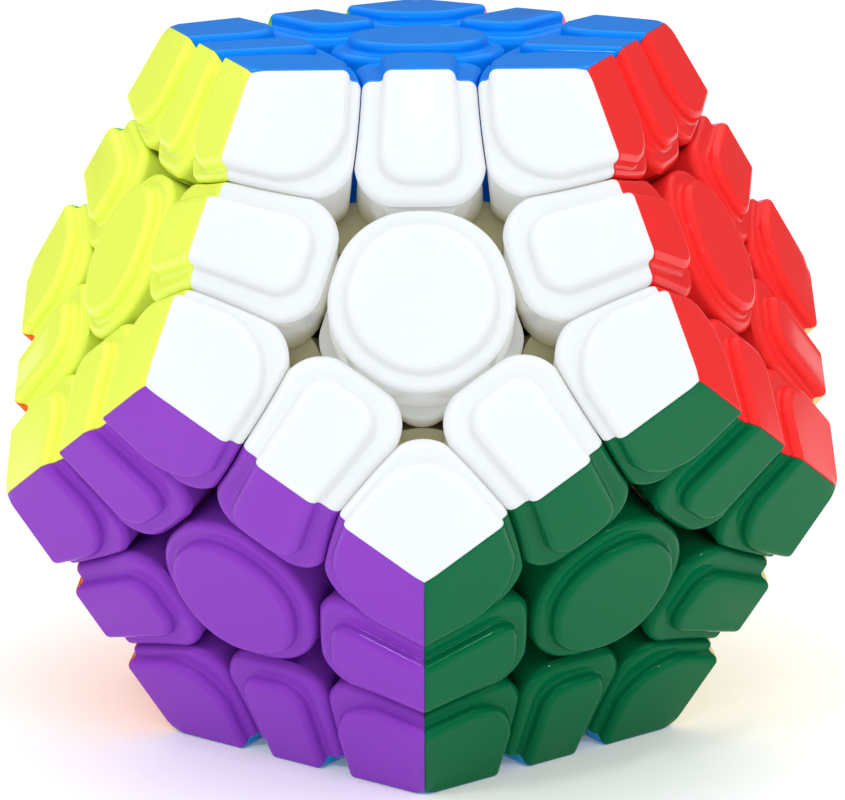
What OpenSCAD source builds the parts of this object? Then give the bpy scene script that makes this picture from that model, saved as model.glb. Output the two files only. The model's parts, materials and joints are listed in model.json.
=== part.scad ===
// Dodecahedron face-turning puzzle: twelve faces, each of a centre, five edges and five corners.
// Every piece rides on a twelve-armed core. The origin is the core's centre and +Z leaves the blue face.

/* [Puzzle] */
// Distance between two opposite faces
face_to_face = 75; // [74:0.5:78]
// Part of an edge line that each corner piece takes
corner_share = 0.333; // [0.325:0.001:0.34]
// Clearance between neighbouring pieces
piece_gap = 0.2; // [0.15:0.05:0.3]

/* [Tiles] */
// Height of a raised tile above the rim around it
tile_rise = 1.3; // [0.8:0.1:1.5]
// Distance from a face's middle to the sides of its centre piece
centre_rim_r = 9.1; // [8.8:0.05:9.25]
// Rounding of the five corners of a centre piece
centre_rim_round = 8.1; // [6:0.1:8.5]
// Distance from a face's middle to the sides of the wider foot of a centre piece
centre_base_r = 9.27; // [9.26:0.01:9.35]
// Rounding of the five corners of that foot
centre_base_round = 3.4; // [3:0.1:5]
// Height of the top of that foot above the ball under the blocks
centre_base_h = 1.6; // [1:0.1:3]
// Distance from a face's middle to the sides of its centre tile
centre_tile_r = 7.4; // [6.6:0.1:7.8]
// Rounding of the five corners of a centre tile
centre_tile_round = 6.6; // [4.5:0.1:7]
// Half width of an edge tile where two faces meet
edge_tile_outer = 3.6; // [3.2:0.1:4]
// Half width of an edge tile at its inner end
edge_tile_inner = 4.05; // [3.6:0.05:4.4]
// Distance from a face's middle to an edge tile
edge_tile_end = 11.7; // [11:0.1:12.4]
// Rounding of the inner corners of an edge tile
edge_tile_round = 2.8; // [1.2:0.1:3.2]
// Half width of an edge piece at its inner end
edge_rim_half = 6.55; // [6.2:0.05:6.8]
// Distance from a face's middle to an edge piece
edge_rim_end = 9.65; // [9.5:0.05:10]
// Rounding of the inner corners of an edge piece
edge_rim_round = 4.2; // [2:0.1:4.5]
// Distance from a face's middle to a corner tile, along the diagonal
corner_tile_tip = 16.6; // [16:0.1:17.2]
// Rounding of the inner corner of a corner tile
corner_tile_round = 6.3; // [5:0.1:7]
// Distance from a face's middle to a corner piece, along the diagonal
corner_rim_tip = 14.1; // [13.9:0.05:14.6]
// Rounding of the inner corner of a corner piece
corner_rim_round = 4.8; // [4:0.1:5.4]

/* [Mechanism] */
// Radius of the ball on which the blocks of the pieces slide over the feet
foot_ball_r = 27; // [26.5:0.5:28]
// Radius of the hollow that the feet leave around the core
foot_hollow_r = 21; // [20.5:0.5:22]
// Half width of an edge piece's foot and of its neck, along the edge
edge_foot_half = 2.2; // [1.8:0.1:2.3]
// Half length of an edge piece's neck, across the edge
edge_neck_half = 4.6; // [4:0.1:4.8]
// Half angle that an edge piece's foot takes up, across the edge
edge_foot_angle = 17; // [16:0.5:17.5]
// Half angle of a corner piece's foot
corner_foot_angle = 14; // [11:0.5:14]
// Half angle of the cone that holds every foot of one layer
layer_foot_angle = 49.5; // [49:0.1:49.7]
// Radius of a corner piece's neck
corner_neck_r = 2.1; // [1.8:0.1:2.3]
// Radius of the hub under a centre
hub_r = 4.1; // [3.8:0.1:4.2]
// Distance from the core's centre to the bottom of a hub
hub_bottom = 15.6; // [15.4:0.1:16.5]
// Distance from the core's centre to the seat of a spring
spring_seat = 18.6; // [18:0.1:19.5]
// Radius of the core's ball
core_ball_r = 8; // [7:0.5:9]
// Radius of the core's arms
core_arm_r = 3.4; // [3:0.1:3.8]
// Radius of a screw's shank
screw_r = 1.2; // [1:0.1:1.3]
// Radius of a screw's head
screw_head_r = 2.4; // [2.2:0.1:2.5]
// Length of a screw's shank outside its arm
screw_out = 11; // [10:0.5:12]
// Length of a screw's shank inside its arm
screw_in = 8; // [6:0.5:8.5]
// Thickness of a spring's wire
spring_wire = 0.5; // [0.4:0.05:0.6]

/* [Hidden] */
$fn = 64;
// Angle between two neighbouring faces' normals
face_angle = acos(1 / sqrt(5));
face_r = face_to_face / 2;
rim_r = face_r - tile_rise;
side_r = face_r * (sqrt(5) - 1) / 2;
side = 2 * side_r * tan(36);
far = 70;
arc_steps = 6;
// Angle between a face's normal and the line to one of its corners
vertex_angle = atan(2 / (1 + sqrt(5)) / cos(36));
half_gap = piece_gap / 2;
// A layer's cut is a cone whose lines are square to the neighbouring faces. It crosses the puzzle's
// edge lines at corner_share, which sets how far its tip is from the core's centre.
vertex_rho = side / (2 * sin(36));
lower_vertex = [2 * cos(36) * vertex_rho, face_r * (sqrt(5) - 2)];
cut_point = [vertex_rho, face_r] * (1 - corner_share) + lower_vertex * corner_share;
cut_slope = 1 / tan(face_angle);
cut_tip = cut_point[1] - cut_slope * cut_point[0];
// Half angles of the inner corner of a corner piece and of its tile
corner_rim_half = 47.5;
corner_tile_half = 39.6;
// The hub's cavity holds the spring and the screw's head, and a lid closes it
cavity_r = 2.95;
lid_bottom = rim_r - 1.2;
lid_plug = 2;
lid_plug_r = 5.2;
lid_plug_wall = 1;
lid_fit = 0.15;
lid_seam = 0.05;
arm_end = hub_bottom - 0.3;
bore_fit = 0.1;
thread_fit = 0.02;
washer_h = 0.5;
washer_gap = 0.05;
screw_head_h = 1.8;
drive_r = 0.9;
spring_turns = 5;
spring_r = 2.15;
spring_clear = 0.05;

LIGHT_BLUE = 11;
COLOURS = ["blue", "white", "red", "pink", "light_green", "yellow",
           "purple", "green", "cream", "grey", "orange", "light_blue"];
PAINT = ["#1f78d8", "#f6fafc", "#ea2e2e", "#f590b4", "#7fd653", "#e6f85a",
         "#944dcd", "#1c7a55", "#f2e6b4", "#9aa0a6", "#f5801e", "#3fa9d8"];
// Direction of each face: a turn about Z, a tilt from +Z and a spin about its own normal
TURN = [0, 0, 72, 144, -144, -72, -36, 36, 108, 180, -108, 0];
TILT = [0, for (i = [1:5]) face_angle, for (i = [6:10]) 180 - face_angle, 180];
SPIN = [0, for (i = [1:5]) 180, for (i = [6:11]) 0];
// Neighbours of each face, counter-clockwise from its own -Y
AROUND = [[1, 2, 3, 4, 5], [0, 5, 6, 7, 2], [0, 1, 7, 8, 3], [0, 2, 8, 9, 4], [0, 3, 9, 10, 5],
          [0, 4, 10, 6, 1], [11, 7, 1, 5, 10], [11, 8, 2, 1, 6], [11, 9, 3, 2, 7],
          [11, 10, 4, 3, 8], [11, 6, 5, 4, 9], [9, 8, 7, 6, 10]];

function next(k) = (k + 1) % 5;
// Every edge and corner once, as its first face and the number of its neighbour there
EDGES = [for (f = [0:11]) for (k = [0:4]) if (AROUND[f][k] > f) [f, k]];
CORNERS = [for (f = [0:11]) for (k = [0:4])
    if (AROUND[f][k] > f && AROUND[f][next(k)] > f) [f, k]];
function edge_faces(e) = [e[0], AROUND[e[0]][e[1]]];
function corner_faces(c) = [c[0], AROUND[c[0]][c[1]], AROUND[c[0]][next(c[1])]];
function has(faces, f) = len(search(f, faces)) > 0;
// Each corner of the bottom face shares a node with the upright edge above it
TOP_CORNERS = [for (c = CORNERS) if (!has(corner_faces(c), LIGHT_BLUE)) c];
function base_corner(e) = [for (c = CORNERS)
    if (has(corner_faces(c), LIGHT_BLUE) && !has(edge_faces(e), LIGHT_BLUE)
        && has(corner_faces(c), edge_faces(e)[0]) && has(corner_faces(c), edge_faces(e)[1])) c];
function joined(faces, i = 0) =
    i == len(faces) ? "" : str(COLOURS[faces[i]], "_", joined(faces, i + 1));
function edge_name(e) =
    str(joined(edge_faces(e)), "edge", len(base_corner(e)) > 0 ? "_and_base_corner" : "");
function corner_name(c) = str(joined(corner_faces(c)), "corner");
function centre_name(f) = str(COLOURS[f], "_centre");

// Placement: in a face's own frame the face looks along +Z
module at_face(f) rotate([0, 0, TURN[f]]) rotate([TILT[f], 0, 0]) rotate([0, 0, SPIN[f]]) children();
module at_neighbour(k)
    rotate([0, 0, 72 * k]) rotate([face_angle, 0, 0]) rotate([0, 0, 180]) children();
module at_every_face() for (f = [0:11]) at_face(f) children();

// Everything below a face's plane at the given distance
module under(r) translate([-far, -far, r - 2 * far]) cube(2 * far);
// The cut of one turning layer, grown by the given amount
module layer(grow) translate([0, 0, cut_tip - grow / sin(face_angle)])
    cylinder(r1 = 0, r2 = far, h = far * cut_slope);

// Outlines in a face's plane, with their round stretches as arcs. Angles go counter-clockwise from -Y.
function dir(a) = [sin(a), -cos(a)];
function arc(centre, r, from, to) =
    [for (i = [0:arc_steps]) centre + r * dir(from + (to - from) * i / arc_steps)];
module rounded_pentagon(r, round) polygon([for (k = [0:4])
    each arc((r - round) / cos(36) * dir(36 + 72 * k), round, 72 * k, 72 * k + 72)]);
module rounded_end(outer, inner, end, round) polygon(concat(
    arc([inner - round, -end - round], round, 90, 180), arc([round - inner, -end - round], round, 180, 270),
    [[-outer, -side_r], [-outer, -far], [outer, -far], [outer, -side_r]]));
module rounded_wedge(tip, round, half) rotate(36) translate([0, -tip - round]) polygon(concat(
    arc([0, 0], round, 90 + half, 270 - half),
    [for (x = [-1, 1]) [x * far * sin(half), -far * cos(half)]]));
module raised() translate([0, 0, rim_r - 0.5]) linear_extrude(tile_rise + 0.5) children();
module block() translate([0, 0, foot_hollow_r / 2]) linear_extrude(rim_r - foot_hollow_r / 2) children();

// An edge piece, between the face at +Z and its neighbour 0
module edge_block() block() rounded_end(edge_rim_half, edge_rim_half, edge_rim_end, edge_rim_round);
module edge_tile() intersection() {
    raised() rounded_end(edge_tile_outer, edge_tile_inner, edge_tile_end, edge_tile_round);
    at_neighbour(0) under(face_r);
}
module edge_foot() rotate([face_angle / 2, 0, 0]) {
    intersection() {
        rotate([90, 0, 90]) translate([0, 0, -edge_foot_half]) linear_extrude(2 * edge_foot_half)
            polygon([[0, 0], far * [sin(edge_foot_angle), cos(edge_foot_angle)],
                     far * [-sin(edge_foot_angle), cos(edge_foot_angle)]]);
        foot_shell();
    }
    translate([-edge_foot_half, -edge_neck_half, foot_ball_r - 1])
        cube([2 * edge_foot_half, 2 * edge_neck_half, 3]);
}
module edge_shape() {
    difference() {
        intersection() {
            edge_block();
            at_neighbour(0) edge_block();
            layer(-half_gap);
            at_neighbour(0) layer(-half_gap);
        }
        at_neighbour(1) layer(half_gap);
        at_neighbour(4) layer(half_gap);
        sphere(foot_ball_r + half_gap);
    }
    edge_tile();
    at_neighbour(0) edge_tile();
    edge_foot();
}
module edge_piece(e) {
    color(PAINT[e[0]]) at_face(e[0]) rotate([0, 0, 72 * e[1]]) edge_shape();
    for (c = base_corner(e)) corner_piece(c);
}

// A corner piece, between the face at +Z and its neighbours 0 and 1
module corner_block() block() rounded_wedge(corner_rim_tip, corner_rim_round, corner_rim_half);
module corner_tile() intersection() {
    raised() rounded_wedge(corner_tile_tip, corner_tile_round, corner_tile_half);
    at_neighbour(0) under(face_r);
    at_neighbour(1) under(face_r);
}
module foot_layer() cylinder(r1 = 0, r2 = far * tan(layer_foot_angle), h = far);
module corner_foot() {
    intersection() {
        rotate([0, 0, 36]) rotate([vertex_angle, 0, 0])
            cylinder(r1 = 0, r2 = far * tan(corner_foot_angle), h = far);
        foot_layer();
        at_neighbour(0) foot_layer();
        at_neighbour(1) foot_layer();
        foot_shell();
    }
    rotate([0, 0, 36]) rotate([vertex_angle, 0, 0]) translate([0, 0, foot_ball_r - 1])
        cylinder(r = corner_neck_r, h = 4);
}
module corner_shape() {
    difference() {
        intersection() {
            corner_block();
            at_neighbour(0) rotate(-72) corner_block();
            at_neighbour(1) corner_block();
            layer(-half_gap);
            at_neighbour(0) layer(-half_gap);
            at_neighbour(1) layer(-half_gap);
        }
        sphere(foot_ball_r + half_gap);
    }
    corner_tile();
    at_neighbour(0) rotate(-72) corner_tile();
    at_neighbour(1) corner_tile();
    corner_foot();
}
module corner_piece(c) color(PAINT[c[0]]) at_face(c[0]) rotate([0, 0, 72 * c[1]]) corner_shape();
// The space between the hollow around the core and the ball under the blocks
module foot_shell() difference() {
    sphere(foot_ball_r - half_gap);
    sphere(foot_hollow_r);
}

// A centre is a hub that turns on its screw, and a lid that hides the screw
module hub() difference() {
    union() {
        difference() {
            union() {
                translate([0, 0, foot_hollow_r]) linear_extrude(lid_bottom - lid_seam - foot_hollow_r)
                    rounded_pentagon(centre_rim_r, centre_rim_round);
                translate([0, 0, foot_hollow_r]) linear_extrude(foot_ball_r + centre_base_h - foot_hollow_r)
                    rounded_pentagon(centre_base_r, centre_base_round);
            }
            sphere(foot_ball_r + half_gap);
        }
        translate([0, 0, hub_bottom]) cylinder(r = hub_r, h = foot_ball_r + 2 - hub_bottom);
    }
    translate([0, 0, hub_bottom - 1]) cylinder(r = screw_r + bore_fit, h = far);
    translate([0, 0, spring_seat]) cylinder(r = cavity_r, h = far);
    translate([0, 0, lid_bottom - lid_plug - lid_fit]) cylinder(r = lid_plug_r + lid_fit, h = far);
}
module lid() {
    translate([0, 0, lid_bottom]) linear_extrude(rim_r - lid_bottom)
        rounded_pentagon(centre_rim_r, centre_rim_round);
    raised() rounded_pentagon(centre_tile_r, centre_tile_round);
    translate([0, 0, lid_bottom - lid_plug]) difference() {
        cylinder(r = lid_plug_r, h = lid_plug + 0.5);
        translate([0, 0, -1]) cylinder(r = lid_plug_r - lid_plug_wall, h = lid_plug + 1);
    }
}
module centre_piece(f) color(PAINT[f]) at_face(f) {
    hub();
    lid();
}

module core() color("#3a3d42") difference() {
    union() {
        sphere(core_ball_r);
        at_every_face() translate([0, 0, core_ball_r / 2 + 2])
            cylinder(r = core_arm_r, h = arm_end - core_ball_r / 2 - 2);
    }
    at_every_face() translate([0, 0, arm_end - screw_in - 0.5])
        cylinder(r = screw_r + thread_fit, h = far);
}
module screw_and_washer() {
    head_z = arm_end + screw_out;
    difference() {
        union() {
            translate([0, 0, arm_end - screw_in]) cylinder(r = screw_r, h = screw_in + screw_out + 0.5);
            translate([0, 0, head_z]) cylinder(r = screw_head_r, h = screw_head_h);
        }
        translate([0, 0, head_z + screw_head_h / 3]) cylinder(r = drive_r, h = far);
    }
    translate([0, 0, head_z - washer_gap - washer_h]) difference() {
        cylinder(r = cavity_r - bore_fit, h = washer_h);
        translate([0, 0, -1]) cylinder(r = screw_r + thread_fit, h = washer_h + 2);
    }
}
module tension_spring() {
    bottom = spring_seat + spring_clear + spring_wire / 2;
    top = arm_end + screw_out - washer_gap - washer_h - spring_wire / 2;
    for (i = [0:spring_turns - 1]) translate([0, 0, bottom + (top - bottom) * i / (spring_turns - 1)])
        rotate_extrude() translate([spring_r, 0]) circle(spring_wire / 2);
}
module screws_and_washers() color("#c9ccd1") at_every_face() screw_and_washer();
module tension_springs() color("#b4b8be") at_every_face() tension_spring();

core();
screws_and_washers();
tension_springs();
for (f = [0:11]) centre_piece(f);
for (e = EDGES) edge_piece(e);
for (c = TOP_CORNERS) corner_piece(c);
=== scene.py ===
import json
import math

import bmesh
import bpy
import numpy as np
from mathutils import Matrix, Vector


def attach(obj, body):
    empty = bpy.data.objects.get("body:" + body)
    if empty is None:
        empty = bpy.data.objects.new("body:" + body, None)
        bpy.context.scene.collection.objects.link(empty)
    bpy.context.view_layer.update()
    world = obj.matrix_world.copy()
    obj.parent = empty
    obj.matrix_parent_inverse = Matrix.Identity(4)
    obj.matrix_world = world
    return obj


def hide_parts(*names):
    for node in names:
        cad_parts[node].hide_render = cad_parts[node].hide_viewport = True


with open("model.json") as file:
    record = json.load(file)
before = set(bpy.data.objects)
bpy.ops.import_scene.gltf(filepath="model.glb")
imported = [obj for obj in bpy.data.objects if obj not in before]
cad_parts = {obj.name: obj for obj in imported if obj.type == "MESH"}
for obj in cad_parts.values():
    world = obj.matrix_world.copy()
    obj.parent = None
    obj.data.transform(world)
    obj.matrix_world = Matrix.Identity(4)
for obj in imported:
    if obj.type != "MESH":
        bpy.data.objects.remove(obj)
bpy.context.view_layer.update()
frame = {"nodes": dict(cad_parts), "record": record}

# ---------------------------------------------------------------- sizes, in millimetres
FACE_R = 37.5  # from the middle to a face's tiles
RISE = 1.3  # of a tile above its rim
RIM_Z = FACE_R - RISE
SLOPE = 0.5  # of the cones that part a face's layer from the rest
GAP = 0.1  # between a piece and the cut beside it
LIFT = 0.06  # of the ball's wall under a centre, whose long facets sag towards the feet below
BALL = 27.0  # the ball that the feet slide in
HOLLOW = 21.0  # where the feet end
FILLET = 0.85  # round border of a tile
VALLEY = 0.42  # hollow at the foot of a tile
RIM_ROUND = {"centre": 0.85, "edge": 0.85, "corner": 0.6}
EASE = 0.06  # a narrow flat ring beside each rounding
BLUNT, BLUNT_REACH = 0.34, 2.0  # how deep a corner's tip is worn, and how far from it
BASE_H, BASE_SOFT = 1.6, 0.35  # a centre's wider foot, above the ball
BORE, HUB, SEAT = 1.3, 4.1, 2.95  # radii of a centre's hub
HUB_END, HUB_FLOOR, LID_UNDER = 15.6, 18.6, 33.0  # its heights
EDGE_NECK = (2.2, 4.6)
CORNER_NECK = 2.1
EDGE_FOOT = math.radians(17)
CORNER_FOOT, LAYER_CONE = math.radians(14), math.radians(49.5)
REACH = 40.0  # further than any ray goes
HALVINGS = 40
GOLD = (1 + math.sqrt(5)) / 2
CREASE = 1 / GOLD
TILT = math.acos(1 / math.sqrt(5))  # between two neighbouring faces' directions
HALF_SECTOR = math.radians(36)
SIDE = 2 * FACE_R * CREASE * math.tan(HALF_SECTOR)
SHARE = 0.333  # of a pentagon's side that a corner takes
RHO = SIDE / (2 * math.sin(HALF_SECTOR))
TOP_CORNER = np.array([RHO, FACE_R])
LOW_CORNER = np.array([2 * math.cos(HALF_SECTOR) * RHO, FACE_R * (math.sqrt(5) - 2)])
CUT = TOP_CORNER * (1 - SHARE) + LOW_CORNER * SHARE
TIP = CUT[1] - SLOPE * CUT[0]
MM = 0.001

COLOURS = ["blue", "white", "red", "pink", "light_green", "yellow",
           "purple", "green", "cream", "grey", "orange", "light_blue"]
# each face's turn about the upright axis, its lean away from it and its turn about its own axis
TURN = [0, 0, 72, 144, -144, -72, -36, 36, 108, 180, -108, 0]
LEAN = [0] + [TILT] * 5 + [math.pi - TILT] * 5 + [math.pi]
SPIN = [0] + [180] * 5 + [0] * 6
# the five neighbours of each face, in order
AROUND = [[1, 2, 3, 4, 5], [0, 5, 6, 7, 2], [0, 1, 7, 8, 3], [0, 2, 8, 9, 4], [0, 3, 9, 10, 5],
          [0, 4, 10, 6, 1], [11, 7, 1, 5, 10], [11, 8, 2, 1, 6], [11, 9, 3, 2, 7],
          [11, 10, 4, 3, 8], [11, 6, 5, 4, 9], [9, 8, 7, 6, 10]]


def rot_x(a):
    c, s = math.cos(a), math.sin(a)
    return np.array([[1, 0, 0], [0, c, -s], [0, s, c]])


def rot_z(degrees):
    a = math.radians(degrees)
    c, s = math.cos(a), math.sin(a)
    return np.array([[c, -s, 0], [s, c, 0], [0, 0, 1]])


def face_matrix(f):
    """A face's own frame, where the face looks along +Z, in the puzzle's frame."""
    return rot_z(TURN[f]) @ rot_x(LEAN[f]) @ rot_z(SPIN[f])


def neighbour(k):
    """The frame of neighbour k in a face's own frame."""
    return rot_z(72 * k) @ rot_x(TILT) @ rot_z(180)


# ---------------------------------------------------------------- signed distances of outlines
def clip_line(p, point, normal):
    return (p[:, 0] - point[0]) * normal[0] + (p[:, 1] - point[1]) * normal[1]


def rounded(p, lines, radius):
    """Distance to a convex outline given by its side lines, with round corners."""
    d = np.stack([clip_line(p, a, n) + radius for a, n in lines])
    d = np.sort(d, axis=0)
    return np.where(d[-2] > 0, two_line_distance(p, lines, radius), d[-1]) - radius


def two_line_distance(p, lines, radius):
    """Distance to the corner where the two nearest side lines, moved in by the radius, meet."""
    d = np.stack([clip_line(p, a, n) + radius for a, n in lines])
    order = np.argsort(d, axis=0)
    first, second = order[-1], order[-2]
    normals = np.array([n for _, n in lines])
    n1, n2 = normals[first], normals[second]
    d1 = np.take_along_axis(d, first[None], 0)[0]
    d2 = np.take_along_axis(d, second[None], 0)[0]
    c = (n1 * n2).sum(1)
    s2 = np.maximum(1 - c * c, 1e-9)
    # the corner lies at p - x where x.n1 = d1 and x.n2 = d2
    x1 = (d1 - c * d2) / s2
    x2 = (d2 - c * d1) / s2
    x = n1 * x1[:, None] + n2 * x2[:, None]
    inside = (x1 < 0) | (x2 < 0)
    return np.where(inside, np.maximum(d1, d2), np.sqrt((x * x).sum(1)))


def edge_lines(outer, inner, end, depth_outer, depth_inner):
    """An edge outline: two nearly upright sides and the inner end. The face's middle is the origin."""
    run = np.array([inner - outer, depth_outer - depth_inner])
    n = np.array([run[1], -run[0]]) / np.hypot(*run)
    right = ((outer, -depth_outer), np.array([n[0], n[1]]))
    left = ((-outer, -depth_outer), np.array([-n[0], n[1]]))
    return [right, left, ((0, -end), np.array([0.0, 1.0]))]


def corner_lines(tip, radius, half):
    """A corner outline: two sides that open from a round inner tip on the diagonal."""
    a = HALF_SECTOR
    out = np.array([math.sin(a), -math.cos(a)])
    across = np.array([math.cos(a), math.sin(a)])
    h = math.radians(half)
    centre = out * (tip + radius)
    lines = []
    for s in (1, -1):
        n = across * s * math.cos(h) - out * math.sin(h)
        lines.append((centre + n * radius, n))
    return lines


def pentagon_lines(r):
    return [((r * math.sin(math.radians(72 * k)), -r * math.cos(math.radians(72 * k))),
             np.array([math.sin(math.radians(72 * k)), -math.cos(math.radians(72 * k))]))
            for k in range(5)]


def cone_distance(p, axis):
    """How far points lie outside a layer's cut. Negative is inside the layer."""
    h = p @ axis
    r = np.sqrt(np.maximum((p * p).sum(1) - h * h, 0))
    return (TIP + SLOPE * r - h) / math.sqrt(1 + SLOPE * SLOPE)


Z = np.array([0.0, 0.0, 1.0])


def shape(kind):
    """Face frames, tile and rim outlines, the cuts a piece lies in, the cuts it lies out of, and its axis."""
    n = [neighbour(k) @ Z for k in range(5)]
    if kind == "centre":
        return dict(frames=[np.eye(3)], tile=(pentagon_lines(7.4), 6.6), rim=(pentagon_lines(9.1), 8.1),
                    base=(pentagon_lines(9.27), 3.4),
                    inside=[], outside=[], axis=Z)
    if kind == "edge":
        return dict(frames=[np.eye(3), neighbour(0)],
                    tile=(edge_lines(3.6, 4.05, 11.7, 23.18, 14.5), 2.8),
                    rim=(edge_lines(6.55, 6.55, 9.65, 23.18, 13.85), 4.2),
                    inside=[Z, n[0]], outside=[n[1], n[4]], axis=(Z + n[0]) / np.linalg.norm(Z + n[0]))
    axis = Z + n[0] + n[1]
    return dict(frames=[np.eye(3), neighbour(0) @ rot_z(-72), neighbour(1)],
                tile=(corner_lines(16.6, 6.3, 39.6), 6.3), rim=(corner_lines(14.1, 4.8, 47.5), 4.8),
                inside=[Z, n[0], n[1]], outside=[], axis=axis / np.linalg.norm(axis))


def outline_distance(s, which, p):
    lines, radius = s[which]
    return rounded(p[:, :2], lines, radius)


def rim_distance(s, p):
    """p in the first face's frame."""
    d = [outline_distance(s, "rim", p)]
    d += [cone_distance(p, a) + GAP for a in s["inside"]]
    d += [GAP - cone_distance(p, a) for a in s["outside"]]
    return np.max(d, axis=0)


def wall_distance(s, p):
    """Distance to the walls of the block at any depth."""
    d = [outline_distance(s, "rim", p @ m) for m in s["frames"]]
    d += [cone_distance(p, a) + GAP for a in s["inside"]]
    d += [GAP - cone_distance(p, a) for a in s["outside"]]
    return np.max(d, axis=0)


def cast(origin, directions, distance):
    """The last point along each ray before distance() turns positive."""
    low = np.zeros(len(directions))
    high = np.full(len(directions), REACH)
    for _ in range(HALVINGS):
        mid = (low + high) / 2
        out = distance(origin + directions * mid[:, None]) > 0
        high = np.where(out, mid, high)
        low = np.where(out, low, mid)
    return origin + directions * low[:, None]


# ---------------------------------------------------------------- rings of a face
def ray_angles(kind):
    """Ray angles in a face's plane, counter-clockwise, from the origin of its rings."""
    if kind == "centre":
        return np.radians(np.arange(0, 360, 3.6))
    if kind == "edge":
        half = np.concatenate([np.linspace(0, 52, 8)[:-1], np.linspace(52, 83, 22)[:-1],
                               np.linspace(83, 90, 3)])
        return np.radians(np.concatenate([half, 180 - half[:-1][::-1]]))
    return np.radians(np.linspace(0, 108, 49))


def ring_origin(kind, z):
    """Where a ring's rays start at height z: the middle of the crease, or the corner."""
    if kind == "centre":
        return np.array([0, 0, z])
    if kind == "edge":
        return np.array([0, -CREASE * z, z])
    a = HALF_SECTOR
    reach = CREASE * z / math.cos(a)
    return np.array([reach * math.sin(a), -reach * math.cos(a), z])


def ring_directions(kind):
    a = ray_angles(kind)
    if kind == "corner":
        # the first ray runs along the crease with neighbour 1, the last along the one with neighbour 0
        a = a + math.radians(72)
    return np.stack([np.cos(a), np.sin(a), np.zeros(len(a))], axis=1)


def profile(soft):
    """(outline, offset, height) of each ring of a face, from the tile's flat to the top of the wall."""
    rows = [("tile", -1.4, FACE_R), ("tile", -FILLET - EASE, FACE_R)]
    for i in range(6):
        a = math.radians(90 * i / 5)
        rows.append(("tile", -FILLET + FILLET * math.sin(a), FACE_R - FILLET + FILLET * math.cos(a)))
    low = RIM_Z + VALLEY
    for i in range(5):
        a = math.radians(90 * i / 4)
        rows.append(("tile", VALLEY - VALLEY * math.cos(a), low - VALLEY * math.sin(a)))
    rows.append(("tile", VALLEY + EASE, RIM_Z))
    rows.append(("rim", -soft - EASE, RIM_Z))
    for i in range(6):
        a = math.radians(90 * i / 5)
        rows.append(("rim", -soft + soft * math.sin(a), RIM_Z - soft + soft * math.cos(a)))
    return rows


# the seam where two faces of a piece meet: (distance before the crease, depth below the surface)
SEAM = [(0.24, 0.0), (0.12, 0.022), (0.05, 0.066), (0.02, 0.12), (0.014, 0.26)]


def length(v):
    return np.linalg.norm(v, axis=-1)


def face_rows(kind, s):
    """Rings of one face, from the tile's flat outwards. A ring never lies inside the one before it."""
    dirs = ring_directions(kind)
    rows, foot = [], None
    for which, offset, z in profile(RIM_ROUND[kind]):
        o = ring_origin(kind, z)
        if which == "tile":
            fn = lambda p: outline_distance(s, "tile", p) - offset
        else:
            fn = lambda p: rim_distance(s, p) - offset
        row = cast(o, dirs, fn)
        if which == "tile" and offset > 0:
            # where the ledge is narrow, the hollow at the tile's foot ends at the rim's rounding
            inner = cast(o, dirs, lambda p: rim_distance(s, p) + RIM_ROUND[kind] + EASE)
            reach = np.maximum(length(inner - o), foot)
            row = o + dirs * np.minimum(length(row - o), reach)[:, None]
        elif which == "rim":
            row = o + dirs * np.maximum(length(row - o), foot)[:, None]
        rows.append(row)
        if which == "tile" and abs(offset) < 1e-9 or which == "rim":
            foot = length(row - o)
    return rows


def unit(v):
    return v / np.maximum(np.linalg.norm(v, axis=-1, keepdims=True), 1e-12)


def crease_planes(kind):
    """Normals of the planes through the creases at the first and last point of a ring."""
    def crease(k):
        return unit(Z - neighbour(k) @ Z)
    return [crease(0), crease(0)] if kind == "edge" else [crease(1), crease(0)]


def add_seams(kind, s, rows):
    """Each ring gets extra points at both ends, which round the crease and dip into the seam."""
    pts = np.array(rows)
    last = len(pts) - 1
    result = []
    for i, row in enumerate(pts):
        below, above = pts[max(i - 1, 0)], pts[min(i + 1, last)]
        columns = []
        for m, end, nxt in zip(crease_planes(kind), (0, -1), (1, -2)):
            p = row[end]
            along = unit(row[nxt] - p)
            normal = unit(np.cross(along, unit(above[end] - below[end])))
            if normal @ (unit(p - ring_origin(kind, p[2])) + Z) < 0:
                normal = -normal
            back = along / max(abs(along @ m), 0.2)
            flat = unit(normal - m * (normal @ m))
            columns.append([p + back * d - flat * depth for d, depth in SEAM])
        result.append(np.array(columns[0][::-1] + list(row[1:-1]) + columns[1]))
    # the innermost row closes on the middle of the crease, or on the corner
    o = ring_origin(kind, FACE_R)
    if kind == "edge":
        inward, share = np.array([0, 1.0, 0]), 1 / abs(crease_planes(kind)[0][1])
    else:
        inward = np.array([-math.sin(HALF_SECTOR), math.cos(HALF_SECTOR), 0])
        share = 1 / abs(crease_planes(kind)[0] @ inward)
    tips = [o + inward * d * share - s["axis"] * depth for d, depth in SEAM]
    apex = tips[::-1] + [tips[0]] * (pts.shape[1] - 2) + tips
    return [np.array(apex)] + result


def sphere_ring(s, ring, radius):
    """Where the walls below each point of a ring meet a ball, and the azimuths about the piece's axis."""
    axis = s["axis"]
    u = np.array([1.0, 0, 0])
    u = unit(u - axis * (u @ axis))
    v = np.cross(axis, u)
    azimuth = np.arctan2(ring @ v, ring @ u)
    side = np.cos(azimuth)[:, None] * u + np.sin(azimuth)[:, None] * v
    low, high = np.zeros(len(ring)), np.full(len(ring), math.radians(40))
    for _ in range(HALVINGS):
        mid = (low + high) / 2
        p = radius * (np.cos(mid)[:, None] * axis + np.sin(mid)[:, None] * side)
        out = wall_distance(s, p) > 0
        high, low = np.where(out, mid, high), np.where(out, low, mid)
    p = radius * (np.cos(low)[:, None] * axis + np.sin(low)[:, None] * side)
    return p, azimuth, side


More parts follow.
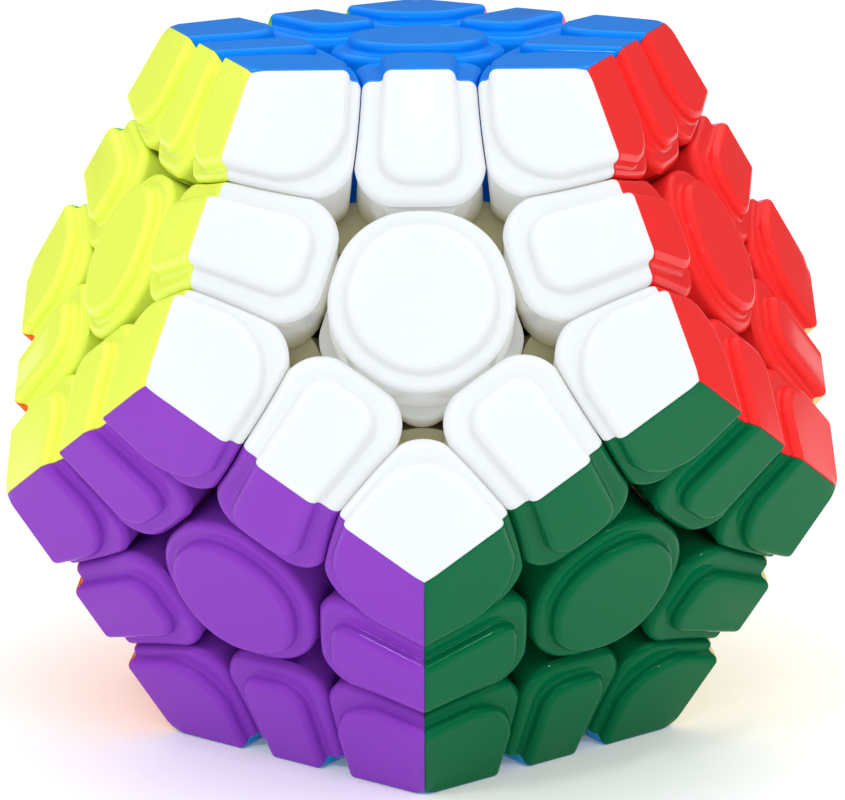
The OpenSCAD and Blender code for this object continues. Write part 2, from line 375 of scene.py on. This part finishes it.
def keep_clear(s, p):
    """Moves wall points that reach past a cut back to it."""
    for _ in range(3):
        for sign, cuts in ((1, s["inside"]), (-1, s["outside"])):
            for a in cuts:
                over = sign * cone_distance(p, a) + GAP
                h = p @ a
                radial = unit(p - h[:, None] * a)
                slope = (SLOPE * radial - a) / math.sqrt(1 + SLOPE * SLOPE)
                p = p - sign * slope * np.maximum(over, 0)[:, None]
    return p


def base_rows(s, rim, side):
    """The walls of a centre, and the wider foot that they stand on, down to the ball."""
    top, soft = BALL + BASE_H, BASE_SOFT
    base = cast(np.zeros(3), side, lambda p: outline_distance(s, "base", p))
    rows = [rim * [1, 1, 0] + Z * z for z in (RIM_Z - RIM_ROUND["centre"] - 0.1, 33.0, 30.0, top + soft)]
    wall = rows[-1] * [1, 1, 0]
    for i in range(1, 4):
        a = math.radians(30 * i)
        rows.append(wall + side * soft * 0.3 * (1 - math.cos(a)) + Z * (top + soft - soft * math.sin(a)))
    for i in range(4):
        a = math.radians(30 * i)
        edge = base - side * soft * (1 - math.sin(a))
        edge = np.where((length(edge) > length(wall))[:, None], edge, wall + side * 0.02)
        rows.append(edge + Z * (top - soft * (1 - math.cos(a))))
    height = np.sqrt((BALL + GAP + LIFT) ** 2 - (base * base).sum(1))
    rows.append(base + Z * height[:, None])
    return rows


def on_ball(axis, side, lateral, radius):
    """Points on a ball at a distance from the piece's axis."""
    lateral = np.minimum(lateral, radius * 0.98)
    return side * lateral[:, None] + axis * np.sqrt(radius ** 2 - lateral ** 2)[:, None]


def box_reach(azimuth, a, b):
    """How far a rectangle of half sizes a and b reaches along each azimuth."""
    c, q = np.abs(np.cos(azimuth)), np.abs(np.sin(azimuth))
    return 1 / np.maximum(np.maximum(c / a, q / b), 1e-9)


def foot_reach(s, side, radius):
    """How far a corner's foot reaches on a ball: a cone of its own, inside the cones of its three layers."""
    low, high = np.zeros(len(side)), np.full(len(side), CORNER_FOOT)
    limit = math.cos(LAYER_CONE)
    for _ in range(30):
        mid = (low + high) / 2
        p = np.cos(mid)[:, None] * s["axis"] + np.sin(mid)[:, None] * side
        out = np.min([p @ a for a in s["inside"]], axis=0) < limit
        high, low = np.where(out, mid, high), np.where(out, low, mid)
    return radius * np.sin(low)


def foot_rows(kind, s, azimuth, side):
    """Rings of the neck and the foot under a block, and of a centre's hub."""
    axis = s["axis"]
    ones = np.ones(len(azimuth))
    top, under = BALL + GAP, BALL - GAP
    if kind == "centre":
        steps = [(HUB, HUB_END), (BORE, HUB_END), (BORE, HUB_FLOOR), (SEAT, HUB_FLOOR),
                 (SEAT, LID_UNDER), (0.0, LID_UNDER)]
        return [on_ball(axis, side, ones * HUB, top)] + [side * r + axis * z for r, z in steps]
    if kind == "edge":
        neck = box_reach(azimuth, *EDGE_NECK)
        foot = lambda r: box_reach(azimuth, EDGE_NECK[0], r * math.sin(EDGE_FOOT))
    else:
        neck = ones * CORNER_NECK
        foot = lambda r: foot_reach(s, side, r)
    return [on_ball(axis, side, neck, top), on_ball(axis, side, neck, under),
            on_ball(axis, side, foot(under), under), on_ball(axis, side, foot(HOLLOW), HOLLOW),
            on_ball(axis, side, ones * 0, HOLLOW)]


def piece_mesh(kind):
    """One mesh for every piece of a kind, with a material slot for each of its faces."""
    s = shape(kind)
    rows = face_rows(kind, s)
    if kind == "centre":
        apex = np.repeat(ring_origin(kind, FACE_R)[None], len(rows[0]), axis=0)
        rows = [apex] + rows
    else:
        rows = add_seams(kind, s, rows)
    if kind == "corner":
        # a few more rings next to the puzzle's corner, which is blunt
        rows = rows[:1] + [rows[0] * (1 - t) + rows[1] * t for t in (0.03, 0.07, 0.12, 0.17)] + rows[1:]
    count = len(rows[0])
    rings = [np.concatenate([r @ m.T for m in s["frames"]]) for r in rows]
    rim = rings[-1]
    q, azimuth, side = sphere_ring(s, rim, BALL + GAP)
    if kind == "centre":
        rings += base_rows(s, rim, side)
        q = rings[-1]
    else:
        for t in (0.03, 0.2, 0.45, 0.7):
            rings.append(keep_clear(s, rim + (q - rim) * t))
        rings.append(q)
    rings += foot_rows(kind, s, azimuth, side)
    total = len(rim)
    verts = np.concatenate(rings)
    if kind == "corner":
        near = np.maximum(1 - length(verts - ring_origin(kind, FACE_R)) / BLUNT_REACH, 0)
        verts = verts - s["axis"] * BLUNT * near[:, None] ** 2
    faces, slots = [], []
    for i in range(len(rings) - 1):
        for j in range(total):
            k = (j + 1) % total
            faces.append((i * total + j, i * total + k, (i + 1) * total + k, (i + 1) * total + j))
            slots.append(j // count)
    if kind == "corner":
        # the three seams meet at the corner
        faces.append(tuple(f * count for f in range(3)))
        slots.append(0)
    mesh = bpy.data.meshes.new(kind)
    mesh.from_pydata((verts * MM).tolist(), [], faces)
    for _ in s["frames"]:
        mesh.materials.append(None)
    mesh.polygons.foreach_set("material_index", slots)
    work = bmesh.new()
    work.from_mesh(mesh)
    bmesh.ops.remove_doubles(work, verts=work.verts, dist=2e-7)
    bmesh.ops.dissolve_degenerate(work, edges=work.edges, dist=1e-7)
    bmesh.ops.recalc_face_normals(work, faces=work.faces)
    work.to_mesh(mesh)
    work.free()
    mesh.polygons.foreach_set("use_smooth", [True] * len(mesh.polygons))
    mesh.set_sharp_from_angle(angle=math.radians(42))
    mesh.update()
    return mesh


# ---------------------------------------------------------------- materials
def node_material(name):
    m = bpy.data.materials.new(name)
    m.use_nodes = True
    nodes, links = m.node_tree.nodes, m.node_tree.links
    return m, nodes, links, nodes["Principled BSDF"]


def plastic(name, colour, roughness=0.1, subsurface=0.05, scatter_and_painted_glow=(1, 1, 1), painted_glow=0.0, painted_deep_colour=None):
    """Glossy moulded plastic: its colour drifts a little, and so does its polish."""
    m, nodes, links, shader = node_material(name)
    coords = nodes.new("ShaderNodeTexCoord")
    cloud = nodes.new("ShaderNodeTexNoise")
    cloud.inputs["Scale"].default_value = 90.0
    cloud.inputs["Detail"].default_value = 3.0
    links.new(coords.outputs["Object"], cloud.inputs["Vector"])
    tint = nodes.new("ShaderNodeMix")
    tint.data_type = "RGBA"
    tint.inputs["A"].default_value = (*[c * 0.975 for c in colour], 1)
    tint.inputs["B"].default_value = (*[min(c * 1.02, 1) for c in colour], 1)
    links.new(cloud.outputs["Fac"], tint.inputs["Factor"])
    links.new(tint.outputs["Result"], shader.inputs["Base Color"])
    polish = nodes.new("ShaderNodeMapRange")
    polish.inputs["To Min"].default_value = roughness * 0.85
    polish.inputs["To Max"].default_value = roughness * 1.15
    links.new(cloud.outputs["Fac"], polish.inputs["Value"])
    links.new(polish.outputs["Result"], shader.inputs["Roughness"])
    ripple = nodes.new("ShaderNodeTexNoise")
    ripple.inputs["Scale"].default_value = 160.0
    ripple.inputs["Detail"].default_value = 2.0
    links.new(coords.outputs["Object"], ripple.inputs["Vector"])
    bump = nodes.new("ShaderNodeBump")
    bump.inputs["Strength"].default_value = 0.12
    bump.inputs["Distance"].default_value = 0.00006
    links.new(ripple.outputs["Fac"], bump.inputs["Height"])
    links.new(bump.outputs["Normal"], shader.inputs["Normal"])
    shader.inputs["IOR"].default_value = 1.5
    shader.inputs["Specular IOR Level"].default_value = 0.09
    shader.inputs["Specular Tint"].default_value = (*[0.5 + 0.5 * c / max(colour) for c in colour], 1)
    shader.inputs["Subsurface Weight"].default_value = subsurface
    shader.inputs["Subsurface Radius"].default_value = scatter_and_painted_glow
    shader.inputs["Subsurface Scale"].default_value = 0.002
    # the emission colour is painted glow; the same colour also sets how far light scatters in the plastic
    shader.inputs["Emission Color"].default_value = (*scatter_and_painted_glow, 1)
    if painted_glow:
        # painted glow: the plastic gives off light of its own, less and less towards the bottom of the gaps,
        # and there its colour turns to a warm painted bounce tint
        depth = nodes.new("ShaderNodeVectorMath")
        depth.operation = "LENGTH"
        links.new(coords.outputs["Object"], depth.inputs[0])
        painted_light_fade = nodes.new("ShaderNodeMapRange")
        painted_light_fade.interpolation_type = "SMOOTHSTEP"
        painted_light_fade.inputs["From Min"].default_value = 26 * MM
        painted_light_fade.inputs["From Max"].default_value = 31.5 * MM
        links.new(depth.outputs["Value"], painted_light_fade.inputs["Value"])
        painted_glow_level = nodes.new("ShaderNodeMath")
        painted_glow_level.operation = "MULTIPLY"
        painted_glow_level.inputs[1].default_value = painted_glow
        links.new(painted_light_fade.outputs["Result"], painted_glow_level.inputs[0])
        links.new(painted_glow_level.outputs["Value"], shader.inputs["Emission Strength"])
        # painted bounce tint: a warmer colour towards the bottom of the gaps
        painted_bounce_tint = nodes.new("ShaderNodeMix")
        painted_bounce_tint.data_type = "RGBA"
        painted_bounce_tint.inputs["A"].default_value = (*painted_deep_colour, 1)
        links.new(painted_light_fade.outputs["Result"], painted_bounce_tint.inputs["Factor"])
        links.new(tint.outputs["Result"], painted_bounce_tint.inputs["B"])
        links.new(painted_bounce_tint.outputs["Result"], shader.inputs["Base Color"])
    return m


def metal(name, colour, roughness):
    m, nodes, links, shader = node_material(name)
    coords = nodes.new("ShaderNodeTexCoord")
    grain = nodes.new("ShaderNodeTexNoise")
    grain.inputs["Scale"].default_value = 900.0
    links.new(coords.outputs["Object"], grain.inputs["Vector"])
    wear = nodes.new("ShaderNodeMapRange")
    wear.inputs["To Min"].default_value = roughness * 0.8
    wear.inputs["To Max"].default_value = roughness * 1.25
    links.new(grain.outputs["Fac"], wear.inputs["Value"])
    links.new(wear.outputs["Result"], shader.inputs["Roughness"])
    shader.inputs["Base Color"].default_value = (*colour, 1)
    shader.inputs["Metallic"].default_value = 1.0
    return m


def linear(*rgb):
    return tuple(c / 255 / 12.92 if c <= 10 else ((c / 255 + 0.055) / 1.055) ** 2.4 for c in rgb)


PAINT = {
    "blue": linear(0, 126, 229),
    "white": linear(183, 189, 196),
    "red": linear(230, 44, 43),
    "pink": linear(240, 128, 168),
    "light_green": linear(110, 200, 60),
    "yellow": linear(227, 243, 91),
    "purple": linear(134, 59, 184),
    "green": linear(0, 98, 58),
    "cream": linear(236, 222, 160),
    "grey": linear(140, 146, 152),
    "orange": linear(238, 110, 20),
    "light_blue": linear(40, 150, 210),
}
plastics = {c: plastic(c + "_plastic", PAINT[c]) for c in COLOURS if c != "white"}
# the white plastic scatters light a little, and glows with painted light out of its walls, a little warmer,
# less towards the bottom of the gaps, where its colour takes a warm painted bounce tint
plastics["white"] = plastic("white_plastic", PAINT["white"], subsurface=0.1, scatter_and_painted_glow=(1.0, 0.97, 0.85), painted_glow=0.25,
                            painted_deep_colour=linear(212, 205, 165))

# ---------------------------------------------------------------- the 62 pieces
patterns = {kind: piece_mesh(kind) for kind in ("centre", "edge", "corner")}
home = {n: body for body, nodes in frame["record"]["behaviour"]["bodies"].items() for n in nodes}


def place(kind, name, node, f, turn, faces):
    """Puts a piece of a kind on face f, turned about that face's axis, in place of its CAD node."""
    mesh = patterns[kind].copy()
    mesh.name = name
    mesh.transform(Matrix((face_matrix(f) @ rot_z(turn)).tolist()).to_4x4())
    obj = bpy.data.objects.new(name, mesh)
    bpy.context.scene.collection.objects.link(obj)
    for slot, c in zip(obj.material_slots, faces):
        slot.link = "OBJECT"
        slot.material = plastics[COLOURS[c]]
    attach(obj, home[node])
    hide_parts(node)


def joined(faces, kind):
    """A piece's name: its colours, then its kind."""
    return "_".join([COLOURS[f] for f in faces] + [kind])


# a corner of the bottom face is in the node of the upright edge above it
BOTTOM = COLOURS.index("light_blue")
upright = {}
for f in range(12):
    place("centre", COLOURS[f] + "_centre", COLOURS[f] + "_centre", f, 0, [f])
    for k in range(5):
        g = AROUND[f][k]
        if g > f:
            name = joined([f, g], "edge")
            node = name if name in frame["nodes"] else name + "_and_base_corner"
            upright[frozenset((f, g))] = node
            place("edge", name, node, f, 72 * k, [f, g])
for f in range(12):
    for k in range(5):
        g, h = AROUND[f][k], AROUND[f][(k + 1) % 5]
        if g > f and h > f:
            name = joined([f, g, h], "corner")
            node = name if name in frame["nodes"] else upright[frozenset({f, g, h} - {BOTTOM})]
            place("corner", name, node, f, 72 * k, [f, g, h])
for pattern in patterns.values():
    bpy.data.meshes.remove(pattern)

for name, m in (("core", plastic("core_plastic", linear(40, 42, 46), 0.45, 0.0)),
                ("screws_and_washers", metal("screw_steel", linear(200, 203, 208), 0.3)),
                ("tension_springs", metal("spring_steel", linear(180, 184, 190), 0.35))):
    node = frame["nodes"][name]
    node.data.materials.clear()
    node.data.materials.append(m)

# ---------------------------------------------------------------- floor, light and camera
scene = bpy.context.scene


def panel(name, place_at, look_at, size, power):
    """A flat white lamp that faces a point."""
    lamp = bpy.data.lights.new(name, "AREA")
    lamp.shape = "RECTANGLE"
    lamp.size, lamp.size_y = size
    lamp.energy = power
    obj = bpy.data.objects.new(name, lamp)
    scene.collection.objects.link(obj)
    obj.location = place_at
    obj.rotation_euler = (Vector(look_at) - Vector(place_at)).to_track_quat("-Z", "Y").to_euler()
    return obj


FLOOR_Z = -FACE_R * MM
HALF = 4.0  # half the floor's side, in metres
verts = [(x, y, FLOOR_Z) for x, y in ((-HALF, -HALF), (HALF, -HALF), (HALF, HALF), (-HALF, HALF))]
floor_mesh = bpy.data.meshes.new("floor")
floor_mesh.from_pydata(verts, [], [(0, 1, 2, 3)])
floor = bpy.data.objects.new("floor", floor_mesh)
scene.collection.objects.link(floor)
m, nodes, links, shader = node_material("floor_paper")
shader.inputs["Base Color"].default_value = (0.93, 0.93, 0.93, 1)
shader.inputs["Roughness"].default_value = 0.6
shader.inputs["Emission Color"].default_value = (1, 1, 1, 1)
shader.inputs["Emission Strength"].default_value = 0.12
floor_mesh.materials.append(m)

panel("left_softbox", (-0.75, -0.5, 0.45), (0, 0, 0), (0.45, 0.6), 1.3)
panel("right_softbox", (0.75, -0.5, 0.42), (0, 0, 0), (0.45, 0.6), 1.3)
panel("low_fill", (0.0, -0.9, 0.02), (0, 0, 0), (0.7, 0.25), 1.2)
panel("overhead", (0.0, 0.1, 0.9), (0, 0, 0), (0.8, 0.6), 0.9)
panel("strip", (0.05, -0.62, 0.72), (0, 0, 0), (0.5, 0.05), 0.8)
panel("spark_left", (-0.28, -0.5, 0.62), (0, 0, 0), (0.02, 0.1), 1.1)
panel("spark_right", (0.42, -0.6, 0.5), (0, 0, 0), (0.025, 0.1), 0.8)

world = bpy.data.worlds.new("world")
scene.world = world
world.use_nodes = True
nodes, links = world.node_tree.nodes, world.node_tree.links
coords = nodes.new("ShaderNodeTexCoord")
# bright above, dimmer near the horizon, so that flat tops don't mirror it
height = nodes.new("ShaderNodeSeparateXYZ")
links.new(coords.outputs["Generated"], height.inputs["Vector"])
ramp = nodes.new("ShaderNodeMapRange")
ramp.inputs["From Min"].default_value = 0.3
ramp.inputs["From Max"].default_value = 0.65
ramp.inputs["To Min"].default_value = 0.12
ramp.inputs["To Max"].default_value = 1.15
links.new(height.outputs["Z"], ramp.inputs["Value"])
links.new(ramp.outputs["Result"], nodes["Background"].inputs["Strength"])
nodes["Background"].inputs["Color"].default_value = (1, 1, 1, 1)

# the camera looks a little past the puzzle's middle: angles in degrees, aims in radians
AZIMUTH, ELEVATION, ROLL = -0.3, 14.27, -0.42
DISTANCE, LENS, AIM_LOW, AIM_LEFT = 0.36, 140.7, 0.007, -0.0006
az, el = math.radians(AZIMUTH), math.radians(ELEVATION)
cam_data = bpy.data.cameras.new("camera")
cam_data.lens = LENS
cam_data.sensor_width = 36.0
cam_data.clip_start = 0.01
camera = bpy.data.objects.new("camera", cam_data)
scene.collection.objects.link(camera)
back = Vector((math.sin(az) * math.cos(el), -math.cos(az) * math.cos(el), math.sin(el)))
turn = (-back).to_track_quat("-Z", "Y").to_matrix().to_4x4()
camera.matrix_world = (Matrix.Translation(back * DISTANCE) @ turn @ Matrix.Rotation(-AIM_LOW, 4, "X")
                       @ Matrix.Rotation(AIM_LEFT, 4, "Y")
                       @ Matrix.Rotation(math.radians(ROLL), 4, "Z"))
scene.camera = camera
scene.view_settings.view_transform = "Standard"
